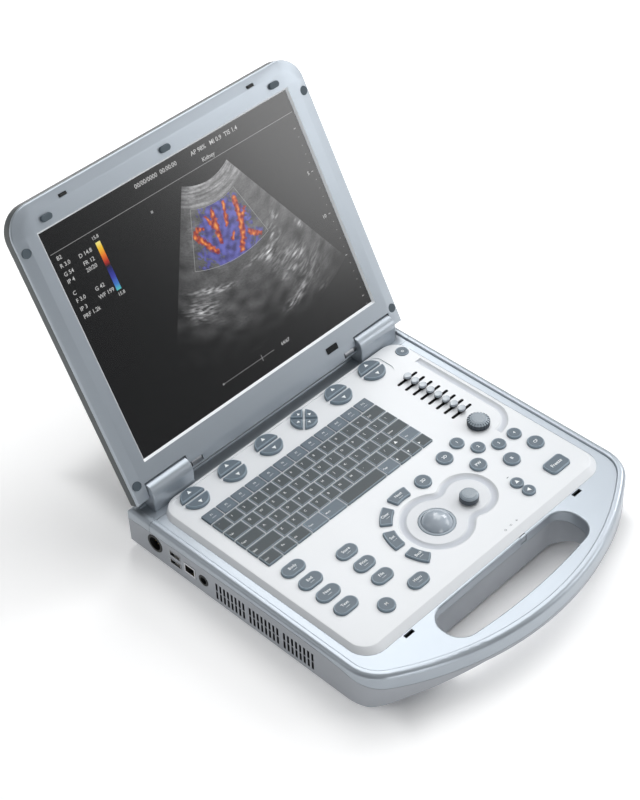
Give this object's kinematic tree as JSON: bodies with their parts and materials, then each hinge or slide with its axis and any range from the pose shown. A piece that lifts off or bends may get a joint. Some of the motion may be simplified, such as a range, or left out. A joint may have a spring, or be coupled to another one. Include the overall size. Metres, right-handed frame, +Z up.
{
  "type": "portable ultrasound scanner",
  "caption": "Portable ultrasound scanner that folds like a laptop, with a keyboard, trackball, gain sliders, knobs, a moulded carrying handle and a hinged display lid.",
  "frame": {"origin": "on the surface it stands on, under the middle of the open scanner", "axes": "+X to the user's right, +Y to the back, away from the user, +Z up"},
  "size_m": [0.3586, 0.4959, 0.3155],
  "materials": {
    "silver_case": "satin silver-blue moulding",
    "lower_case": "fine-textured grey moulding",
    "white_deck": "satin white moulding",
    "lid_shell": "satin dark grey moulding",
    "dark_keys": "satin dark grey keys",
    "light_keys": "satin mid grey keys",
    "slider_caps": "light grey gloss caps",
    "knobs": "satin grey knobs",
    "ball": "gloss grey ball",
    "inner_plastic": "black moulding",
    "screen": "anti-glare glass",
    "display": "metal-backed display",
    "rubber": "soft black rubber",
    "mat": "grey silicone rubber",
    "steel": "plain steel",
    "screws": "blackened steel",
    "port_shells": "nickel-plated shells",
    "port_plastic": "black moulding",
    "board": "green laminate",
    "battery": "dark grey moulding"
  },
  "bodies": {
    "base": {"lower_case": "lower_case", "top_housing": "silver_case", "rear_cap": "silver_case", "hinge_covers": "silver_case", "control_panel": "white_deck", "dome_mat": "mat", "key_plate": "steel", "trackball_ring": "light_keys", "trackball_cup": "inner_plastic", "encoders": "inner_plastic", "slider_tracks": "inner_plastic", "main_board": "board", "battery_pack": "battery", "fan_frame": "inner_plastic", "round_sockets": "port_plastic", "data_ports": "port_shells", "power_inlet": "port_plastic", "probe_socket": "port_plastic", "feet": "rubber", "case_screws": "screws"},
    "lid": {"lid_bezel": "silver_case", "lid_back_shell": "lid_shell", "screen_glass": "screen", "display_module": "display", "hinge_arms": "steel", "hinge_pins": "steel", "lid_bumpers": "rubber", "screw_covers": "silver_case", "indicator_window": "inner_plastic"},
    "latch_hooks": {"latch_hooks": "steel"},
    "trackball": {"trackball": "ball"},
    "gain_knob": {"gain_knob": "knobs"},
    "select_knob": {"select_knob": "knobs"},
    "gain_slider_1": {"gain_slider_1": "slider_caps"},
    "gain_slider_2": {"gain_slider_2": "slider_caps"},
    "gain_slider_3": {"gain_slider_3": "slider_caps"},
    "gain_slider_4": {"gain_slider_4": "slider_caps"},
    "gain_slider_5": {"gain_slider_5": "slider_caps"},
    "gain_slider_6": {"gain_slider_6": "slider_caps"},
    "gain_slider_7": {"gain_slider_7": "slider_caps"},
    "gain_slider_8": {"gain_slider_8": "slider_caps"},
    "function_row": {"function_row": "light_keys"},
    "number_row": {"number_row": "dark_keys"},
    "upper_letter_row": {"upper_letter_row": "dark_keys"},
    "middle_letter_row": {"middle_letter_row": "dark_keys"},
    "lower_letter_row": {"lower_letter_row": "dark_keys"},
    "space_row": {"space_row": "dark_keys"},
    "soft_keys_rear": {"soft_keys_rear": "light_keys"},
    "soft_keys_front": {"soft_keys_front": "light_keys"},
    "cursor_keys": {"cursor_keys": "light_keys"},
    "arc_keys": {"arc_keys": "light_keys"},
    "oval_keys": {"oval_keys": "light_keys"},
    "large_round_keys": {"large_round_keys": "light_keys"},
    "small_round_keys": {"small_round_keys": "light_keys"},
    "adjust_keys": {"adjust_keys": "light_keys"},
    "freeze_key": {"freeze_key": "light_keys"},
    "power_key": {"power_key": "light_keys"},
    "release_button": {"release_button": "silver_case"},
    "latch_bar": {"latch_bar": "steel"},
    "fan_rotor": {"fan_rotor": "inner_plastic"}
  },
  "joints": [
    {"name": "lid_hinge", "type": "hinge", "parent": "base", "child": "lid", "pos_m": [0, 0.0997, 0.0615], "axis": [1, 0, 0], "range_deg": [-20, 118.4]},
    {"name": "hook_slide", "type": "slide", "parent": "lid", "child": "latch_hooks", "axis": [0, -0.8796, 0.4756], "range_m": [0, 0.0155], "stiffness_N_per_m": 40, "springref_m": -0.002},
    {"name": "ball_spin", "type": "hinge", "parent": "base", "child": "trackball", "pos_m": [-0.002, -0.1117, 0.04163], "axis": [1, 0, 0], "continuous": true},
    {"name": "gain_knob_turn", "type": "hinge", "parent": "base", "child": "gain_knob", "pos_m": [0.121, -0.0557, 0.049], "axis": [0, 0, 1], "continuous": true},
    {"name": "select_knob_turn", "type": "hinge", "parent": "base", "child": "select_knob", "pos_m": [0.0385, -0.1148, 0.049], "axis": [0, 0, 1], "continuous": true},
    {"name": "gain_slider_1_slide", "type": "slide", "parent": "base", "child": "gain_slider_1", "axis": [1, 0, 0], "range_m": [-0.009, 0.009]},
    {"name": "gain_slider_2_slide", "type": "slide", "parent": "base", "child": "gain_slider_2", "axis": [1, 0, 0], "range_m": [-0.009, 0.009]},
    {"name": "gain_slider_3_slide", "type": "slide", "parent": "base", "child": "gain_slider_3", "axis": [1, 0, 0], "range_m": [-0.009, 0.009]},
    {"name": "gain_slider_4_slide", "type": "slide", "parent": "base", "child": "gain_slider_4", "axis": [1, 0, 0], "range_m": [-0.009, 0.009]},
    {"name": "gain_slider_5_slide", "type": "slide", "parent": "base", "child": "gain_slider_5", "axis": [1, 0, 0], "range_m": [-0.009, 0.009]},
    {"name": "gain_slider_6_slide", "type": "slide", "parent": "base", "child": "gain_slider_6", "axis": [1, 0, 0], "range_m": [-0.009, 0.009]},
    {"name": "gain_slider_7_slide", "type": "slide", "parent": "base", "child": "gain_slider_7", "axis": [1, 0, 0], "range_m": [-0.009, 0.009]},
    {"name": "gain_slider_8_slide", "type": "slide", "parent": "base", "child": "gain_slider_8", "axis": [1, 0, 0], "range_m": [-0.009, 0.009]},
    {"name": "function_row_press", "type": "slide", "parent": "base", "child": "function_row", "axis": [0, 0, 1], "range_m": [-0.002, 0], "stiffness_N_per_m": 600, "springref_m": 0.001},
    {"name": "number_row_press", "type": "slide", "parent": "base", "child": "number_row", "axis": [0, 0, 1], "range_m": [-0.002, 0], "stiffness_N_per_m": 600, "springref_m": 0.001},
    {"name": "upper_letter_row_press", "type": "slide", "parent": "base", "child": "upper_letter_row", "axis": [0, 0, 1], "range_m": [-0.002, 0], "stiffness_N_per_m": 600, "springref_m": 0.001},
    {"name": "middle_letter_row_press", "type": "slide", "parent": "base", "child": "middle_letter_row", "axis": [0, 0, 1], "range_m": [-0.002, 0], "stiffness_N_per_m": 600, "springref_m": 0.001},
    {"name": "lower_letter_row_press", "type": "slide", "parent": "base", "child": "lower_letter_row", "axis": [0, 0, 1], "range_m": [-0.002, 0], "stiffness_N_per_m": 600, "springref_m": 0.001},
    {"name": "space_row_press", "type": "slide", "parent": "base", "child": "space_row", "axis": [0, 0, 1], "range_m": [-0.002, 0], "stiffness_N_per_m": 600, "springref_m": 0.001},
    {"name": "soft_keys_rear_press", "type": "slide", "parent": "base", "child": "soft_keys_rear", "axis": [0, 0, 1], "range_m": [-0.0012, 0], "stiffness_N_per_m": 600, "springref_m": 0.001},
    {"name": "soft_keys_front_press", "type": "slide", "parent": "base", "child": "soft_keys_front", "axis": [0, 0, 1], "range_m": [-0.0012, 0], "stiffness_N_per_m": 600, "springref_m": 0.001},
    {"name": "cursor_keys_press", "type": "slide", "parent": "base", "child": "cursor_keys", "axis": [0, 0, 1], "range_m": [-0.0012, 0], "stiffness_N_per_m": 600, "springref_m": 0.001},
    {"name": "arc_keys_press", "type": "slide", "parent": "base", "child": "arc_keys", "axis": [0, 0, 1], "range_m": [-0.0012, 0], "stiffness_N_per_m": 600, "springref_m": 0.001},
    {"name": "oval_keys_press", "type": "slide", "parent": "base", "child": "oval_keys", "axis": [0, 0, 1], "range_m": [-0.0012, 0], "stiffness_N_per_m": 600, "springref_m": 0.001},
    {"name": "large_round_keys_press", "type": "slide", "parent": "base", "child": "large_round_keys", "axis": [0, 0, 1], "range_m": [-0.0012, 0], "stiffness_N_per_m": 600, "springref_m": 0.001},
    {"name": "small_round_keys_press", "type": "slide", "parent": "base", "child": "small_round_keys", "axis": [0, 0, 1], "range_m": [-0.0012, 0], "stiffness_N_per_m": 600, "springref_m": 0.001},
    {"name": "adjust_keys_press", "type": "slide", "parent": "base", "child": "adjust_keys", "axis": [0, 0, 1], "range_m": [-0.0012, 0], "stiffness_N_per_m": 600, "springref_m": 0.001},
    {"name": "freeze_key_press", "type": "slide", "parent": "base", "child": "freeze_key", "axis": [0, 0, 1], "range_m": [-0.0012, 0], "stiffness_N_per_m": 600, "springref_m": 0.001},
    {"name": "power_key_press", "type": "slide", "parent": "base", "child": "power_key", "axis": [0, 0, 1], "range_m": [-0.0008, 0], "stiffness_N_per_m": 600, "springref_m": 0.001},
    {"name": "release_press", "type": "slide", "parent": "base", "child": "release_button", "axis": [0, 1, 0], "range_m": [0, 0.0012], "stiffness_N_per_m": 500, "springref_m": -0.001},
    {"name": "latch_slide", "type": "slide", "parent": "base", "child": "latch_bar", "axis": [1, 0, 0], "range_m": [0, 0.0012]},
    {"name": "fan_spin", "type": "hinge", "parent": "base", "child": "fan_rotor", "pos_m": [0.136, 0.0598, 0.014], "axis": [0, 0, 1], "continuous": true}
  ],
  "couplings": [
    {"joint": "latch_slide", "follows": "release_press", "ratio": 1}
  ]
}
